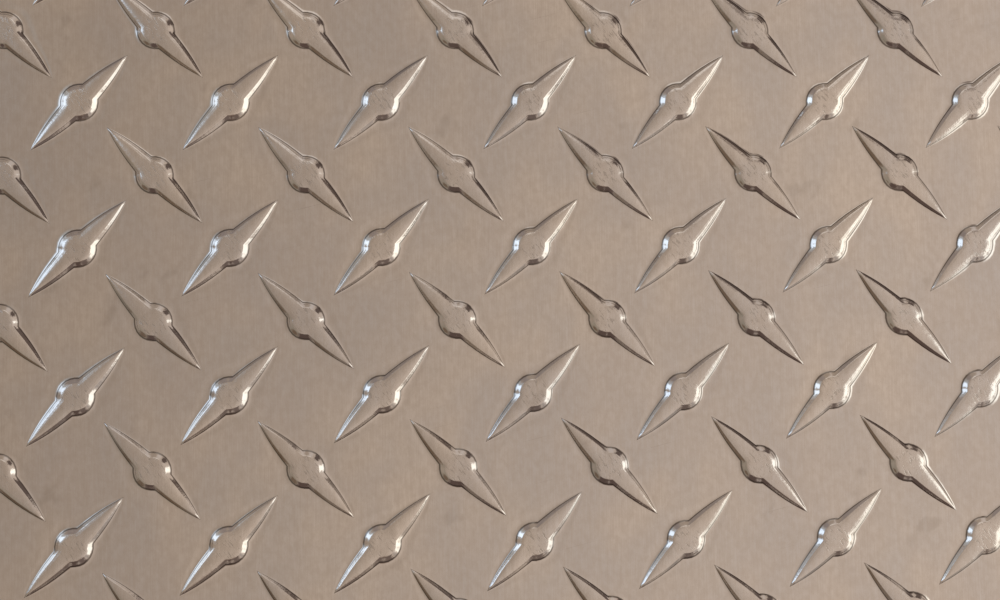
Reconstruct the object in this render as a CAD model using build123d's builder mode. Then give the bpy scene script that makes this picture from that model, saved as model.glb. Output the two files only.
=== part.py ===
"""Rolled aluminium tread plate: one cut sheet with raised lugs on its top face.

The sheet is one solid piece. Each lug is a slim pointed blade with a boss at its middle, and the lugs stand
at right angles to their neighbours, in two interleaved grids. A lug's flanks are drafted, more gently on the
boss than along the blade. Its top is level on the boss and slopes down from there to both points. The shear
that cut the sheet to size went through the lugs that stand on its edges. Sizes are in millimetres. The origin
is the middle of the flat back face, +Z points to the tread side, and the sheet was rolled along Y.
"""

import os
from math import ceil, radians, tan

from build123d import *

# Sheet
sheet_width = 304.8
sheet_length = 304.8
sheet_thickness = 1.6

# Two grids of lugs: the falling one stands half a pitch away from the rising one, both ways
pitch_across = 37.0
pitch_along = 36.1
first_lug_across = 10.5
first_lug_along = -7.0

# One lug
lug_length = 32.4
lug_angle = 45.4
blade_width = 5.3
shoulder_width = 3.2
shoulder_share = 0.64
boss_diameter = 9.2
boss_sides = 16
neck_share = 0.6
lug_height = 1.0
point_height = 0.3
blade_draft = 41.0
boss_draft = 50.0

# Sizes that follow from those above
half_length = lug_length / 2
shoulder_reach = half_length * shoulder_share
boss_radius = boss_diameter / 2
neck_reach = boss_radius * neck_share
crest_reach = boss_radius - lug_height * tan(radians(boss_draft))


def grid_places(start, pitch, sheet_size):
    """Places along one direction for every lug that reaches the sheet."""
    reach = sheet_size / 2 + half_length
    first = ceil((-reach - start) / pitch)
    last = ceil((reach - start) / pitch)
    return [start + pitch * step for step in range(first, last)]


def lug_places(start_across, start_along, angle):
    """One grid of lugs that stand on the sheet's top face, out to those that its edges cut."""
    columns = grid_places(start_across, pitch_across, sheet_width)
    rows = grid_places(start_along, pitch_along, sheet_length)
    return [Location((x, y, sheet_thickness), (0, 0, angle)) for x in columns for y in rows]


rising = lug_places(first_lug_across, first_lug_along, lug_angle)
falling = lug_places(first_lug_across + pitch_across / 2, first_lug_along + pitch_along / 2, -lug_angle)

# One side of the blade's outline, from the point at +X over its shoulders and the necks at the boss
blade_side = [
    (half_length, 0),
    (shoulder_reach, shoulder_width / 2),
    (neck_reach, blade_width / 2),
    (-neck_reach, blade_width / 2),
    (-shoulder_reach, shoulder_width / 2),
]
other_side = [(-x, -y) for x, y in blade_side]

# Height of the lug along its length, seen from the side
crown = [
    (-half_length, 0),
    (half_length, 0),
    (half_length, point_height),
    (crest_reach, lug_height),
    (-crest_reach, lug_height),
    (-half_length, point_height),
]

with BuildPart() as lug:
    # Drafted blade, lying along X with its foot on the XY plane
    with BuildSketch():
        Polygon(*blade_side, *other_side, align=None)
    extrude(amount=lug_height, taper=blade_draft)
    # Drafted boss
    with BuildSketch():
        RegularPolygon(boss_radius, boss_sides, rotation=180 / boss_sides)
    extrude(amount=lug_height, taper=boss_draft)
    # Tops that slope down to the points
    with BuildSketch(Plane.XZ):
        Polygon(*crown, align=None)
    extrude(amount=boss_diameter, both=True, mode=Mode.INTERSECT)

with BuildPart() as lugs:
    with Locations(*rising, *falling):
        add(lug.part)
    # The shear that cuts the sheet to size also cuts the lugs that stand on its edges
    with BuildSketch():
        Rectangle(sheet_width, sheet_length)
    extrude(amount=sheet_thickness + lug_height, mode=Mode.INTERSECT)

with BuildPart() as tread_plate:
    with Locations((0, 0, sheet_thickness / 2)):
        Box(sheet_width, sheet_length, sheet_thickness)
    add(lugs.part)

tread_plate.part.label = "tread_plate"
os.makedirs("parts", exist_ok=True)
export_step(tread_plate.part, "parts/tread_plate.step")
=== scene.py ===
# %% [markdown]
# # A sheet of bright aluminium tread plate
#
# Tread plate is a sheet that is rolled between a plain roll and an engraved one. The engraved roll
# leaves crossed rows of lugs: slim pointed blades, each with a round boss at its middle. The bright
# kind is polished almost to a mirror, so what we see of it is mostly its surroundings. This lesson
# models one lug well, repeats it over the sheet, cuts the sheet as a shear does, and then gives the
# metal something to mirror.

# %% Load the sheet that the CAD model describes
from math import atan2, cos, pi, radians, sin, sqrt

import bmesh
import bpy
from mathutils import Matrix, Vector


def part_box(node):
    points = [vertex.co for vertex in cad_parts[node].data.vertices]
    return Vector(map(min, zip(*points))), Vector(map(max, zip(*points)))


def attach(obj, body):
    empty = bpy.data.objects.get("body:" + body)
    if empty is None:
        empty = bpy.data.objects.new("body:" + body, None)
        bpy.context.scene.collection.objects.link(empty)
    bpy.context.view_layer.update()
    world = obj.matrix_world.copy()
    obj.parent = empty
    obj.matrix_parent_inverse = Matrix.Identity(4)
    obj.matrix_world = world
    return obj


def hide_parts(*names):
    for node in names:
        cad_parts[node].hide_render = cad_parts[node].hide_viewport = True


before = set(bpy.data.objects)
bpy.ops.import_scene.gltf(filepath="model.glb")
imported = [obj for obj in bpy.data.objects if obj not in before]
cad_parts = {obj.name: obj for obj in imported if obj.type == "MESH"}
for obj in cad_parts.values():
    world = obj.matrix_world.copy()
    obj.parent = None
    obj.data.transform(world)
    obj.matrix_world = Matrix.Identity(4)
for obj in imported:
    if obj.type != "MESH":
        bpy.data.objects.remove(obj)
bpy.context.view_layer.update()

MM = 0.001
low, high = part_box("tread_plate")
sheet_width = high.x - low.x
sheet_length = high.y - low.y
sheet_thickness = 1.6 * MM
lug_height = high.z - sheet_thickness
print("sheet", round(sheet_width, 4), "by", round(sheet_length, 4), "lug height", round(lug_height, 5))

# %% [markdown]
# ## The lug in cross-section
#
# Seen from above, a lug is the union of a long leaf and a round boss. Each contour line of the lug
# has that same form, only larger or smaller. So one function draws the outline from three sizes, and
# a short list says how far each contour lies outside or inside the lug's foot, and how high it is.
# Displacement on a fine grid could make the same relief, but it would need millions of faces to keep
# these crisp flanks, while contour rings put every vertex where the shape turns.

# %% Sizes of the lug
lug_length = 33.0 * MM
lug_angle = radians(45.4)
blade_half_width = 2.65 * MM
blade_fullness = 1.97
boss_radius = 4.55 * MM
point_height = 0.31 * MM
level_reach = 0.9 * MM
slope_power = 2.2
boss_steps = 4
blade_steps = 7


def ridge_height(u):
    """Height of the lug's crest at a distance u from its middle: level, then ever steeper to the points."""
    along = max(abs(u) - level_reach, 0) / (lug_length / 2 - level_reach)
    return lug_height - (lug_height - point_height) * min(along, 1) ** slope_power


for u in (0, 0.5, 1):
    print("crest at", u, "of the half length, in mm:", round(ridge_height(u * lug_length / 2) / MM, 3))

# %% [markdown]
# The leaf's half width follows a power law that is close to a plain arc. The boss is a circle. The
# corner where they cross is found by halving, and is then eased by moving it a little towards its
# neighbours, as rolled metal never keeps a sharp inner corner. The points get closer together
# towards the leaf's end, where the outline matters most.

# %% One contour of the lug
halvings = 40
closer_at_point = 0.35
easing = (0.06, 0.9, 0.04)


def quarter_outline(half_length, half_width, radius):
    """Points from the side of the boss to the point of the leaf, in the lug's own directions."""

    def leaf(u):
        return half_width * (1 - (u / half_length) ** blade_fullness)

    inner, outer = 0, radius
    for _ in range(halvings):
        join = (inner + outer) / 2
        if sqrt(radius**2 - join**2) > leaf(join):
            inner = join
        else:
            outer = join
    join_angle = atan2(leaf(join), join)
    points = []
    for step in range(boss_steps):
        angle = pi / 2 + (join_angle - pi / 2) * step / boss_steps
        points.append((radius * cos(angle), radius * sin(angle)))
    points.append((join, leaf(join)))
    for step in range(1, blade_steps + 1):
        share = step / blade_steps
        u = join + (half_length - join) * share * (1 + closer_at_point * (1 - share))
        points.append((u, leaf(u)))
    near_corner = list(zip(easing, points[boss_steps - 1 : boss_steps + 2]))
    points[boss_steps] = tuple(sum(weight * point[k] for weight, point in near_corner) for k in range(2))
    return points


def full_outline(half_length, half_width, radius):
    """The closed contour, anticlockwise from the point at +u."""
    quarter = quarter_outline(half_length, half_width, radius)
    upper_right = quarter[::-1]
    upper_left = [(-u, v) for u, v in quarter[1:-1]]
    upper = upper_right + upper_left
    return upper + [(-u, -v) for u, v in upper]


print("points in one contour:", len(full_outline(lug_length / 2, blade_half_width, boss_radius)))

# %% [markdown]
# The rings run from the flat sheet inwards. The metal sinks a few hundredths of a millimetre beside
# the lug, because it was pressed up into the roll's pocket from there. The flank rises at about 45
# degrees along the blade and more gently on the boss. It mirrors the room near the horizon, while
# its rounded foot and shoulder run through all the heights above that within a few tenths of a
# millimetre: that is why bright tread plate shows each lug drawn in thin dark and light lines.

# %% The rings, from outside in
# Each: how far outside the foot it lies at the boss, along the blade and at the point, in mm, and its
# share of the height. The outermost two are level with the sheet, which keeps the metal between the
# lugs flat. The metal hardly bends out there, so the coarse rings do with half as many points.
rings = [
    (3.00, 3.00, 0.95, 0.0),
    (2.75, 2.75, 0.88, 0.0),
    (1.90, 1.90, 0.75, -0.035),
    (1.00, 1.00, 0.55, -0.060),
    (0.38, 0.42, 0.28, -0.030),
    (-0.03, 0.05, 0.05, 0.080),
    (-0.28, -0.06, -0.08, 0.190),
    (-0.50, -0.20, -0.27, 0.345),
    (-0.72, -0.45, -0.64, 0.600),
    (-1.16, -0.67, -0.97, 0.835),
    (-1.24, -0.73, -1.06, 0.868),
    (-1.34, -0.94, -1.36, 0.900),
    (-1.76, -1.40, -2.05, 0.966),
    (-2.30, -1.55, -3.00, 0.995),
]
coarse_rings = 3
spine_inset = 4.2 * MM
print("rings:", len(rings), "of which coarse:", coarse_rings)

# %% [markdown]
# ## One tile of the pattern
#
# The lugs stand like the strips of a basket weave: each one lies along a line to two of its
# neighbours and across the line to two others. A long narrow tile round each lug follows that weave,
# and small diamonds fill what is left. All borders share their vertices, so that the tiles can be
# merged into one watertight skin later on.

# %% Sizes of the weave
pitch_across = 37.0 * MM
pitch_along = 36.1 * MM
tile_half_width = 8.3 * MM
half_step = Vector((pitch_across / 2, pitch_along / 2, 0))
tile_half_length = half_step.length - tile_half_width
rising = half_step.normalized()
falling = Vector((rising.x, -rising.y, 0))
print("tile, in mm:", round(2 * tile_half_length / MM, 2), "by", round(2 * tile_half_width / MM, 2))


def tile_corner(along, across):
    """A place on the tile's border, by its distances along the two lines to the neighbours."""
    return rising * along + falling * across + Vector((0, 0, sheet_thickness))


# %% [markdown]
# The tile is made ring by ring, and two attributes go with it for the material. One says how far up
# the lug a vertex is, and the other is 1 over the boss and fades beyond it. The material can't find
# them from the height alone, because the tops slope and the sheet's edges are rounded down.

# %% The tile's mesh
weld = 0.001 * MM


def boss_share(u, level, fade):
    """1 over the boss and 0 well beyond it, at a distance u from the lug's middle."""
    return 1 - min(max(abs(u) / boss_radius - level, 0) / fade, 1)


def lug_vertex(u, v, height):
    """A vertex of the lug, turned to the lug's own direction on the sheet."""
    return Vector((u * cos(lug_angle) - v * sin(lug_angle), u * sin(lug_angle) + v * cos(lug_angle),
                   sheet_thickness + height))


def build_tile(name, mirrored):
    """One lug with the sheet round it. The mirrored tile leans the other way."""
    mesh = bmesh.new()
    rise = mesh.verts.layers.float.new("rise")
    on_boss = mesh.verts.layers.float.new("on_boss")
    loops = []
    for at_boss, at_blade, at_point, share in rings:
        outline = full_outline(lug_length / 2 + at_point * MM, blade_half_width + at_blade * MM,
                               boss_radius + at_boss * MM)
        if len(loops) < coarse_rings:
            outline = outline[::2]
        loops.append([mesh.verts.new(lug_vertex(u, v, share * ridge_height(u))) for u, v in outline])
        for vert, (u, v) in zip(loops[-1], outline):
            vert[rise] = max(share, 0)
            vert[on_boss] = boss_share(u, level=0.5, fade=0.4)
    # The innermost loop is the crest, folded flat onto the lug's long axis
    shrink = 1 - spine_inset / (lug_length / 2)
    crest = [u * shrink for u, v in full_outline(lug_length / 2, blade_half_width, boss_radius)]
    loops.append([mesh.verts.new(lug_vertex(u, 0, ridge_height(u))) for u in crest])
    for vert, u in zip(loops[-1], crest):
        vert[rise] = 1
        vert[on_boss] = boss_share(u, level=0.57, fade=0.57)
    for outer, inner in zip(loops, loops[1:]):
        per_edge = len(inner) // len(outer)
        for k in range(len(outer)):
            inner_run = [inner[(per_edge * k + step) % len(inner)] for step in range(per_edge, -1, -1)]
            mesh.faces.new([outer[k], outer[(k + 1) % len(outer)]] + inner_run)
    # Border of the tile, anticlockwise, with the places where its neighbours' corners meet it
    a, b = tile_half_length, tile_half_width
    stops = [(a, -b), (a, 0), (a, b), (b, b), (0, b), (-b, b),
             (-a, b), (-a, 0), (-a, -b), (-b, -b), (0, -b), (b, -b)]
    border = [mesh.verts.new(tile_corner(along, -across)) for along, across in stops]
    edges = [mesh.edges.new((border[k - 1], border[k])) for k in range(len(border))]
    edges += [mesh.edges.get((loops[0][k - 1], loops[0][k])) for k in range(len(loops[0]))]
    bmesh.ops.triangle_fill(mesh, edges=edges, use_beauty=True)
    if not mirrored:
        # The two diamonds beside this tile, to the right of it and above it
        for side in ((1, 1), (1, -1)):
            places = [(a, b), (a, a), (b, a), (b, b)]
            mesh.faces.new([mesh.verts.new(tile_corner(x * side[0], y * side[1])) for x, y in places])
    bmesh.ops.remove_doubles(mesh, verts=mesh.verts, dist=weld)
    if mirrored:
        bmesh.ops.scale(mesh, vec=(1, -1, 1), verts=mesh.verts)
    bmesh.ops.recalc_face_normals(mesh, faces=mesh.faces)
    if sum(face.normal.z for face in mesh.faces) < 0:
        bmesh.ops.reverse_faces(mesh, faces=mesh.faces)
    data = bpy.data.meshes.new(name)
    mesh.to_mesh(data)
    mesh.free()
    tile = bpy.data.objects.new(name, data)
    bpy.context.scene.collection.objects.link(tile)
    print(name, "has", len(data.polygons), "faces")
    return tile


rising_tile = build_tile("rising_tile", mirrored=False)
falling_tile = build_tile("falling_tile", mirrored=True)

# %% [markdown]
# ## The material: bright rolled aluminium
#
# Rolled between polished rolls, the metal mirrors what is round it, a little softened across the
# rolling direction by very fine grain. Feet and other sheets have rubbed the tops of the lugs, so
# those are duller and pitted. A dark line runs round the lowest part of each lug's flank. All of
# this could be painted in an image, but noise on Object coordinates needs no file and stays sharp
# however close we come.

# %% Colour and node helpers
def linear(hex_colour):
    """An sRGB hex colour as the linear colour that shaders work in."""
    values = []
    for k in (1, 3, 5):
        c = int(hex_colour[k : k + 2], 16) / 255
        values.append(c / 12.92 if c <= 0.04045 else ((c + 0.055) / 1.055) ** 2.4)
    return (*values, 1)


def add_node(tree, kind, inputs=None, output=0, **settings):
    """Adds a node and returns one of its outputs. Inputs are values or other nodes' outputs."""
    node = tree.nodes.new(kind)
    for key, value in settings.items():
        setattr(node, key, value)
    for key, value in (inputs or {}).items():
        if isinstance(value, bpy.types.NodeSocket):
            tree.links.new(value, node.inputs[key])
        else:
            node.inputs[key].default_value = value
    return node.outputs[output] if node.outputs else None


print("bare aluminium in linear values:", [round(value, 3) for value in linear("#EEEBE5")])

# %% [markdown]
# Every mark on the metal is a layer of noise with the size of its real features. The grain is drawn
# coarser than the real one, which is too fine to show from a third of a metre.

# %% The layers of noise
# Each: size of a feature in mm along its own X, Y and Z, turn in degrees, detail and roughness
noise_layers = {
    "fine grain": ((0.28, 9, 0.28), 0, 3, 0.70),
    "broad grain": ((2.6, 70, 2.6), 0.6, 2, 0.60),
    "mottle": ((1.6, 2.4, 1.6), 10, 3, 0.62),
    "clouds": ((13, 20, 13), -20, 2, 0.50),
    "film": ((42, 55, 42), 20, 3, 0.60),
    "smudges": ((9, 14, 9), -30, 3, 0.55),
    "patches": ((60, 60, 60), 0, 1, 0.50),
    "scratches": ((0.22, 26, 22), -76, 1, 0.50),
    "drag marks": ((0.9, 0.9, 0.9), 0, 3, 0.65),
    "scuffs": ((0.5, 2.2, 1.2), 38, 3, 0.60),
}
print("layers of noise:", ", ".join(noise_layers))

# %% Bright rolled aluminium
def make_bright_aluminium():
    """Polished aluminium sheet: gives the eye a soft mirror with fine grain, and rubbed lug tops."""
    material = bpy.data.materials.new("bright rolled aluminium")
    material.use_nodes = True
    tree = material.node_tree
    tree.nodes.clear()
    place = add_node(tree, "ShaderNodeTexCoord", output="Object")
    rise = add_node(tree, "ShaderNodeAttribute", attribute_name="rise", output="Fac")
    on_boss = add_node(tree, "ShaderNodeAttribute", attribute_name="on_boss", output="Fac")
    noise = {}
    for name, (size, turn, detail, roughness) in noise_layers.items():
        scaled = add_node(tree, "ShaderNodeMapping",
                          {"Vector": place, "Rotation": (0, 0, radians(turn)),
                           "Scale": [extent * MM for extent in size]}, vector_type="TEXTURE")
        noise[name] = add_node(tree, "ShaderNodeTexNoise",
                               {"Vector": scaled, "Scale": 1, "Detail": detail, "Roughness": roughness})

    # Masks: each is a value that runs softly from 0 to 1 between two limits
    mask = {}
    for name, value, none, full in (
        ("top", rise, 0.86, 0.93),
        ("above foot", rise, 0.02, 0.06),
        ("foot", rise, 0.22, 0.09),
        ("flank", rise, 0.02, 0.20),
        ("grain", noise["fine grain"], 0.30, 0.70),
        ("streaks", noise["broad grain"], 0.30, 0.70),
        ("mottle", noise["mottle"], 0.30, 0.70),
        ("cloud", noise["clouds"], 0.30, 0.70),
        ("film", noise["film"], 0.36, 0.64),
        ("patches", noise["patches"], 0.50, 0.58),
        ("scratch", noise["scratches"], 0.74, 0.80),
        ("smudge", noise["smudges"], 0.64, 0.74),
        ("scuff", noise["scuffs"], 0.55, 0.65),
        ("boss", on_boss, -0.15, 1.0),
    ):
        mask[name] = add_node(tree, "ShaderNodeMapRange",
                              {"Value": value, "From Min": none, "From Max": full},
                              interpolation_type="SMOOTHSTEP")
    # The last mask below darkens the lowest part of each lug's flank, where it meets the sheet
    for name, first, second in (("few scratches", mask["scratch"], mask["patches"]),
                                ("scuffed top", mask["top"], mask["scuff"]),
                                ("dark foot line", mask["above foot"], mask["foot"])):
        mask[name] = add_node(tree, "ShaderNodeMath", {0: first, 1: second}, operation="MULTIPLY")
    mask["scuffed"] = add_node(tree, "ShaderNodeMath", {0: mask["scuffed top"], 1: mask["boss"]},
                               operation="MULTIPLY")

    # Colour: each layer is mixed over the last one by its mask times its strength
    colour = linear("#EEEBE5")
    # The darkest colour below draws a dark line round the foot of each lug
    for name, strength, hex_colour in (("film", 1.0, "#E0E0E0"), ("cloud", 0.62, "#D9DDE2"),
                                       ("mottle", 0.32, "#C2BAB0"), ("grain", 0.42, "#D0CBC4"),
                                       ("streaks", 0.08, "#DAD6D0"), ("smudge", 0.22, "#A39C94"),
                                       ("few scratches", 0.30, "#8E8880"), ("scuffed", 0.38, "#97928B"),
                                       ("dark foot line", 0.75, "#4A4038")):
        amount = add_node(tree, "ShaderNodeMath", {0: mask[name], 1: strength}, operation="MULTIPLY")
        colour = add_node(tree, "ShaderNodeMix", {"Factor": amount, 6: colour, 7: linear(hex_colour)},
                          output=2, data_type="RGBA")

    # Height in mm, and roughness, are sums of the same masks
    height = add_node(tree, "ShaderNodeMath", {0: mask["grain"], 1: 0.0009}, operation="MULTIPLY")
    drag = add_node(tree, "ShaderNodeMath", {0: noise["drag marks"], 1: mask["flank"]},
                    operation="MULTIPLY")
    for value, depth in ((drag, 0.032), (mask["scuffed"], -0.016), (mask["few scratches"], -0.003)):
        height = add_node(tree, "ShaderNodeMath", {0: value, 1: depth, 2: height}, operation="MULTIPLY_ADD")
    roughness = add_node(tree, "ShaderNodeMath", {0: mask["streaks"], 1: 0.02, 2: 0.035},
                         operation="MULTIPLY_ADD")
    for name, amount in (("top", 0.09), ("scuffed", 0.16)):
        roughness = add_node(tree, "ShaderNodeMath", {0: mask[name], 1: amount, 2: roughness},
                             operation="MULTIPLY_ADD")
    bump = add_node(tree, "ShaderNodeBump", {"Height": height, "Strength": 1.0, "Distance": MM})
    shader = add_node(tree, "ShaderNodeBsdfPrincipled",
                      {"Base Color": colour, "Metallic": 1.0, "Roughness": roughness, "Normal": bump})
    add_node(tree, "ShaderNodeOutputMaterial", {"Surface": shader})
    return material


bright_aluminium = make_bright_aluminium()
print("the aluminium's nodes:", len(bright_aluminium.node_tree.nodes))

# %% [markdown]
# ## Repeating the tile with Geometry Nodes
#
# The rolled pattern is two grids, and the second one stands half a pitch away both ways. Geometry
# Nodes lay both, with the sizes as named inputs, and merge the borders. The result is a sheet a
# little larger than the one we want, just as the mill's coil is wider than what is cut from it.

# %% A grid of tiles
first_lug = Vector((10.5 * MM, -7.0 * MM, 0))
spare = 1
border_weld = 0.01 * MM


def grid_start(first, pitch, size):
    """The lowest lug place of the grid along one direction, and how many there are, past both edges."""
    before = int((size / 2 + first) / pitch) + 1 + spare
    after = int((size / 2 - first) / pitch) + 1 + spare
    return first - before * pitch, before + after + 1


def make_weave_tree(material):
    """Geometry Nodes that lay the rising and the falling tiles and merge them into one skin."""
    tree = bpy.data.node_groups.new("tread pattern", "GeometryNodeTree")
    sockets = tree.interface
    sockets.new_socket("Geometry", in_out="OUTPUT", socket_type="NodeSocketGeometry")
    for name, kind in (("Rising Tile", "NodeSocketObject"), ("Falling Tile", "NodeSocketObject"),
                       ("Columns", "NodeSocketInt"), ("Rows", "NodeSocketInt"),
                       ("Pitch Across", "NodeSocketFloat"), ("Pitch Along", "NodeSocketFloat"),
                       ("First Place", "NodeSocketVector")):
        sockets.new_socket(name, in_out="INPUT", socket_type=kind)
    given = tree.nodes.new("NodeGroupInput").outputs

    # One grid of places, moved so that its lowest place is the first one
    pitch = add_node(tree, "ShaderNodeCombineXYZ", {"X": given["Pitch Across"], "Y": given["Pitch Along"]})
    counts = add_node(tree, "ShaderNodeCombineXYZ", {"X": given["Columns"], "Y": given["Rows"], "Z": 1.0})
    steps = add_node(tree, "ShaderNodeVectorMath", {0: counts, 1: (1, 1, 1)}, operation="SUBTRACT")
    extent = add_node(tree, "ShaderNodeVectorMath", {0: pitch, 1: steps}, operation="MULTIPLY")
    extent_x = add_node(tree, "ShaderNodeSeparateXYZ", {0: extent}, output="X")
    extent_y = add_node(tree, "ShaderNodeSeparateXYZ", {0: extent}, output="Y")
    grid = add_node(tree, "GeometryNodeMeshGrid",
                    {"Size X": extent_x, "Size Y": extent_y,
                     "Vertices X": given["Columns"], "Vertices Y": given["Rows"]})
    half = (0.5, 0.5, 0.5)
    rising_shift = add_node(tree, "ShaderNodeVectorMath", {0: extent, 1: half, 2: given["First Place"]},
                            operation="MULTIPLY_ADD")
    falling_shift = add_node(tree, "ShaderNodeVectorMath", {0: pitch, 1: half, 2: rising_shift},
                             operation="MULTIPLY_ADD")
    laid_tiles = []
    for tile, shift in (("Rising Tile", rising_shift), ("Falling Tile", falling_shift)):
        places = add_node(tree, "GeometryNodeTransform", {"Geometry": grid, "Translation": shift})
        shape = add_node(tree, "GeometryNodeObjectInfo", {"Object": given[tile]}, output="Geometry")
        laid_tiles.append(add_node(tree, "GeometryNodeInstanceOnPoints",
                                   {"Points": places, "Instance": shape}))
    both = add_node(tree, "GeometryNodeJoinGeometry", {"Geometry": laid_tiles[1]})
    tree.links.new(laid_tiles[0], both.node.inputs[0])
    real = add_node(tree, "GeometryNodeRealizeInstances", {"Geometry": both})
    merged = add_node(tree, "GeometryNodeMergeByDistance", {"Geometry": real, "Distance": border_weld})
    smooth = add_node(tree, "GeometryNodeSetShadeSmooth", {"Geometry": merged})
    finished = add_node(tree, "GeometryNodeSetMaterial", {"Geometry": smooth, "Material": material})
    add_node(tree, "NodeGroupOutput", {"Geometry": finished})
    return tree


# %% [markdown]
# The tree is evaluated once, with its inputs set, and what it makes is kept as a plain mesh. The two
# tiles have then done their work and are removed.

# %% Lay the pattern
def lay_pattern():
    """The evaluated skin as a plain mesh, with no modifier left on it."""
    start_x, columns = grid_start(first_lug.x, pitch_across, sheet_width)
    start_y, rows = grid_start(first_lug.y, pitch_along, sheet_length)
    weave = make_weave_tree(bright_aluminium)
    carrier = bpy.data.objects.new("carrier", bpy.data.meshes.new("carrier"))
    bpy.context.scene.collection.objects.link(carrier)
    modifier = carrier.modifiers.new("tread pattern", "NODES")
    modifier.node_group = weave
    values = {"Rising Tile": rising_tile, "Falling Tile": falling_tile, "Columns": columns,
              "Rows": rows, "Pitch Across": pitch_across, "Pitch Along": pitch_along,
              "First Place": (start_x, start_y, 0)}
    for item in weave.interface.items_tree:
        if item.item_type == "SOCKET" and item.in_out == "INPUT":
            modifier[item.identifier] = values[item.name]
    bpy.context.view_layer.update()
    evaluated = carrier.evaluated_get(bpy.context.evaluated_depsgraph_get())
    skin = bpy.data.meshes.new_from_object(evaluated)
    for helper in (carrier, rising_tile, falling_tile):
        bpy.data.objects.remove(helper)
    print("pattern:", columns, "by", rows, "places,", len(skin.polygons), "faces")
    return skin


skin = lay_pattern()

# %% [markdown]
# ## Shearing the sheet to size
#
# A shear pushes the upper edge down before it cuts, so the top rolls over, then leaves a bright band
# and a torn one below it. We cut the skin at the four edges, and at a few lines just inside them
# that carry the rounding. Then the open rim is drawn down to the back face.

# %% Sizes of the sheared edge
rollover = 0.22 * MM
rollover_lines = (1.0, 0.6, 0.28, 0.08)
tear_depth = 0.05 * MM
# Each: height of a line on the wall as a share of the thickness, and how deep the tear is there
wall_lines = ((0.55, 0), (0.43, tear_depth), (0, tear_depth))
on_cut = 0.0005 * MM
back_level = 0.01 * MM


def shear(skin):
    """Cuts the skin at the sheet's outline and closes it with sheared walls and a flat back."""
    mesh = bmesh.new()
    mesh.from_mesh(skin)
    sides = [(Vector((1, 0, 0)), sheet_width / 2), (Vector((-1, 0, 0)), sheet_width / 2),
             (Vector((0, 1, 0)), sheet_length / 2), (Vector((0, -1, 0)), sheet_length / 2)]

    def cut(normal, distance, clear):
        geometry = mesh.verts[:] + mesh.edges[:] + mesh.faces[:]
        bmesh.ops.bisect_plane(mesh, geom=geometry, dist=on_cut, plane_co=normal * distance,
                               plane_no=normal, clear_outer=clear)

    for normal, half in sides:
        cut(normal, half, True)
    for normal, half in sides:
        for line in rollover_lines:
            cut(normal, half - rollover * line, False)
    for vert in mesh.verts:
        inset = min(half - vert.co.dot(normal) for normal, half in sides)
        if inset < rollover:
            vert.co.z -= rollover - sqrt(rollover**2 - (rollover - max(inset, 0)) ** 2)
    rim = [edge for edge in mesh.edges if edge.is_boundary]
    for level, inset in wall_lines:
        made = bmesh.ops.extrude_edge_only(mesh, edges=rim)["geom"]
        for vert in [part for part in made if isinstance(part, bmesh.types.BMVert)]:
            vert.co.z = sheet_thickness * level
            vert.co.x = max(-sheet_width / 2 + inset, min(sheet_width / 2 - inset, vert.co.x))
            vert.co.y = max(-sheet_length / 2 + inset, min(sheet_length / 2 - inset, vert.co.y))
        rim = [part for part in made if isinstance(part, bmesh.types.BMEdge) and part.is_boundary]
    back = bmesh.ops.edgeloop_fill(mesh, edges=rim)["faces"]
    bmesh.ops.triangulate(mesh, faces=back)
    bmesh.ops.recalc_face_normals(mesh, faces=mesh.faces)
    for edge in mesh.edges:
        edge.smooth = max(vert.co.z for vert in edge.verts) > back_level
    for face in mesh.faces:
        face.smooth = True
    print("open edges:", sum(not edge.is_manifold for edge in mesh.edges),
          "triangles:", sum(len(face.verts) - 2 for face in mesh.faces), "volume mm3:",
          round(mesh.calc_volume() / MM**3))
    mesh.to_mesh(skin)
    mesh.free()
    # The faces of the back are new and have no material yet, so one slot is made for the whole skin
    skin.materials.clear()
    skin.materials.append(bright_aluminium)
    skin.name = "bright_sheet"
    sheet = bpy.data.objects.new("bright_sheet", skin)
    bpy.context.scene.collection.objects.link(sheet)
    return sheet


bright_sheet = shear(skin)
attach(bright_sheet, "root")
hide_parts("tread_plate")

# %% [markdown]
# ## The camera
#
# The photograph looks almost straight down from about 34 cm above the sheet, tipped by less than
# five degrees, so the rows converge only a little. The sheet fills the frame.

# %% Camera
camera_place = Vector((-10.53, -8.44, 345.7)) * MM
camera_aim = Vector((2.57, 15.86, 1.6)) * MM
camera_roll = radians(-0.54)
lens_mm = 50.48


def make_camera():
    """A camera at the photograph's place, turned a little about its line of sight."""
    data = bpy.data.cameras.new("camera")
    data.sensor_width = 36
    data.lens = lens_mm
    data.clip_start = 0.01
    camera = bpy.data.objects.new("camera", data)
    camera.rotation_mode = "QUATERNION"
    back = (camera_place - camera_aim).normalized()
    right = Vector((0, 1, 0)).cross(back).normalized()
    level = Matrix((right, back.cross(right), back)).transposed()
    camera.rotation_quaternion = (level @ Matrix.Rotation(camera_roll, 3, "Z")).to_quaternion()
    camera.location = camera_place
    bpy.context.scene.collection.objects.link(camera)
    bpy.context.scene.camera = camera


make_camera()
print("camera, in mm above the sheet:", round((camera_place.z - sheet_thickness) / MM, 1))

# %% [markdown]
# ## The floor
#
# A plain painted floor, matt and pale. It reaches far enough that a low camera doesn't see its end.

# %% Floor
floor_reach = 12.0


def make_floor():
    """One large square at the height of the sheet's back."""
    material = bpy.data.materials.new("pale floor paint")
    material.use_nodes = True
    shader = material.node_tree.nodes["Principled BSDF"]
    shader.inputs["Base Color"].default_value = linear("#DEDAD4")
    shader.inputs["Roughness"].default_value = 0.8
    mesh = bpy.data.meshes.new("floor")
    corners = [(x * floor_reach, y * floor_reach, 0) for x, y in ((-1, -1), (1, -1), (1, 1), (-1, 1))]
    mesh.from_pydata(corners, [], [(0, 1, 2, 3)])
    mesh.materials.append(material)
    floor = bpy.data.objects.new("floor", mesh)
    bpy.context.scene.collection.objects.link(floor)


make_floor()
print("floor, in metres across:", 2 * floor_reach)

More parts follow.
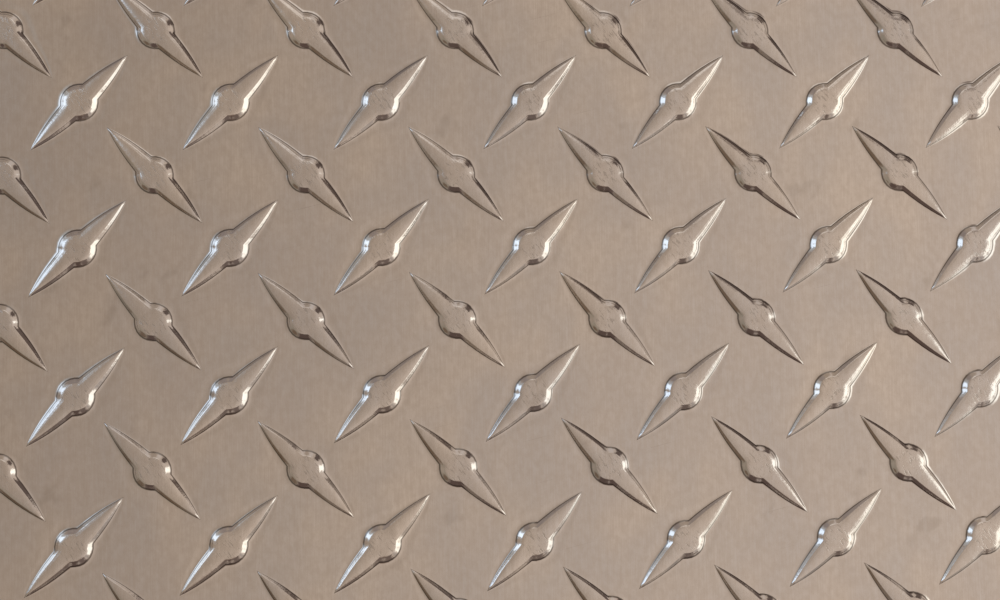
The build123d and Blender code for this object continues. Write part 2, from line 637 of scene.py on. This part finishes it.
# %% [markdown]
# ## The room that the metal mirrors
#
# A mirror finish shows the room, so the room is the light here: a warm grey ceiling over the sheet,
# a cool bright window on the left, a warm bright wall on the right, and darker corners between them.
# Panels and walls of mesh could do this too, but they would stand in the other views. Soft zones in
# the world's colour cost nothing and lie at a great distance.

# %% Surroundings
# The ceiling's colour on the left and on the right, and how it changes from one to the other
ceiling_left = (0.402, 0.314, 0.252, 1)
ceiling_right = (0.66, 0.533, 0.447, 1)
ceiling_direction = (1, -0.3, 0)
ceiling_fade = 0.47
horizon_colour = (0.22, 0.17, 0.14, 1)
horizon_heights = (0.02, 0.13)
# Seen from above, the sky is a disc with a radius of 1: the zenith is its middle. Each soft zone has its
# direction in degrees, anticlockwise from +X, the distance of its middle from the zenith, its half sizes
# outwards and sideways, the softness of its edge, and its colour. A later zone covers an earlier one.
zones = [
    (-90, 0.66, 0.20, 0.16, 0.50, (0.27, 0.19, 0.15)),
    (-148, 0.80, 0.25, 0.34, 0.50, (0.34, 0.28, 0.22)),
    (-140, 0.97, 0.10, 0.24, 0.50, (0.19, 0.13, 0.09)),
    (-72, 0.86, 0.22, 0.24, 0.40, (0.18, 0.13, 0.11)),
    (-106, 0.88, 0.22, 0.30, 0.30, (0.12, 0.08, 0.066)),
    (-46, 0.90, 0.14, 0.10, 0.50, (0.42, 0.35, 0.31)),
    (120, 0.86, 0.20, 0.22, 0.50, (0.31, 0.25, 0.225)),
    (47, 0.90, 0.18, 0.19, 0.30, (0.14, 0.10, 0.084)),
    (54, 0.58, 0.10, 0.07, 0.50, (0.24, 0.18, 0.15)),
    (74, 0.90, 0.14, 0.13, 0.50, (0.64, 0.54, 0.48)),
    (84, 0.60, 0.16, 0.16, 0.50, (0.84, 0.73, 0.65)),
    (154, 0.80, 0.34, 0.28, 0.45, (0.50, 0.50, 0.51)),
    (-12, 0.84, 0.30, 0.46, 0.35, (0.78, 0.66, 0.57)),
    (-29, 0.90, 0.12, 0.13, 0.35, (1.50, 1.40, 1.25)),
    (-4, 0.85, 0.34, 0.27, 0.24, (1.62, 1.50, 1.34)),
    (158, 0.82, 0.27, 0.15, 0.35, (1.18, 1.33, 1.55)),
]


def make_surroundings():
    """A room in soft zones: what the metal mirrors in each direction."""
    world = bpy.data.worlds.new("soft room")
    bpy.context.scene.world = world
    world.use_nodes = True
    tree = world.node_tree
    tree.nodes.clear()
    direction = add_node(tree, "ShaderNodeTexCoord", output="Generated")
    height = add_node(tree, "ShaderNodeSeparateXYZ", {0: direction}, output="Z")
    disc = add_node(tree, "ShaderNodeVectorMath", {0: direction, 1: (1, 1, 0)}, operation="MULTIPLY")
    across = add_node(tree, "ShaderNodeVectorMath", {0: direction, 1: ceiling_direction}, output="Value",
                      operation="DOT_PRODUCT")
    across = add_node(tree, "ShaderNodeMapRange",
                      {"Value": across, "From Min": -ceiling_fade, "From Max": ceiling_fade},
                      interpolation_type="SMOOTHSTEP")
    sky = add_node(tree, "ShaderNodeMix", {"Factor": across, 6: ceiling_left, 7: ceiling_right},
                   output=2, data_type="RGBA")
    low = add_node(tree, "ShaderNodeMapRange",
                   {"Value": height, "From Min": horizon_heights[1], "From Max": horizon_heights[0]},
                   interpolation_type="SMOOTHSTEP")
    sky = add_node(tree, "ShaderNodeMix", {"Factor": low, 6: sky, 7: horizon_colour},
                   output=2, data_type="RGBA")
    for degrees, reach, outwards, sideways, softness, colour in zones:
        turn = radians(degrees)
        middle = (reach * cos(turn), reach * sin(turn), 0)
        local = add_node(tree, "ShaderNodeMapping",
                         {"Vector": disc, "Location": middle, "Rotation": (0, 0, turn),
                          "Scale": (outwards, sideways, 1)}, vector_type="TEXTURE")
        distance = add_node(tree, "ShaderNodeVectorMath", {0: local}, output="Value", operation="LENGTH")
        inside = add_node(tree, "ShaderNodeMapRange",
                          {"Value": distance, "From Min": 1 + softness, "From Max": 1 - softness},
                          interpolation_type="SMOOTHSTEP")
        sky = add_node(tree, "ShaderNodeMix", {"Factor": inside, 6: sky, 7: (*colour, 1)}, output=2,
                       data_type="RGBA")
    background = add_node(tree, "ShaderNodeBackground", {"Color": sky, "Strength": 1.0})
    add_node(tree, "ShaderNodeOutputWorld", {"Surface": background})


make_surroundings()
print("zones in the room:", len(zones))

# %% [markdown]
# ## Lamps
#
# Two soft round lamps light the floor, one from the window's side and one from the warm side. The
# metal doesn't mirror them, because the room's zones are already there.

# %% Lamps
def make_panel(name, place, size, watts, colour):
    """A soft round lamp that points at the middle of the sheet."""
    data = bpy.data.lights.new(name, "AREA")
    data.shape = "DISK"
    data.size = size
    data.energy = watts
    data.color = linear(colour)[:3]
    panel = bpy.data.objects.new(name, data)
    panel.location = place
    panel.rotation_euler = (-Vector(place)).to_track_quat("-Z", "Y").to_euler()
    panel.visible_glossy = False
    bpy.context.scene.collection.objects.link(panel)
    print(name, "stands", round(Vector(place).length, 2), "m away, in watts:", watts)


make_panel("window_panel", (-1.6, 0.9, 1.6), 1.2, 22, "#F4F8FF")
make_panel("warm_panel", (1.7, -0.4, 1.5), 1.2, 18, "#FFF6EA")

# %% View settings
bpy.context.scene.view_settings.view_transform = "Standard"
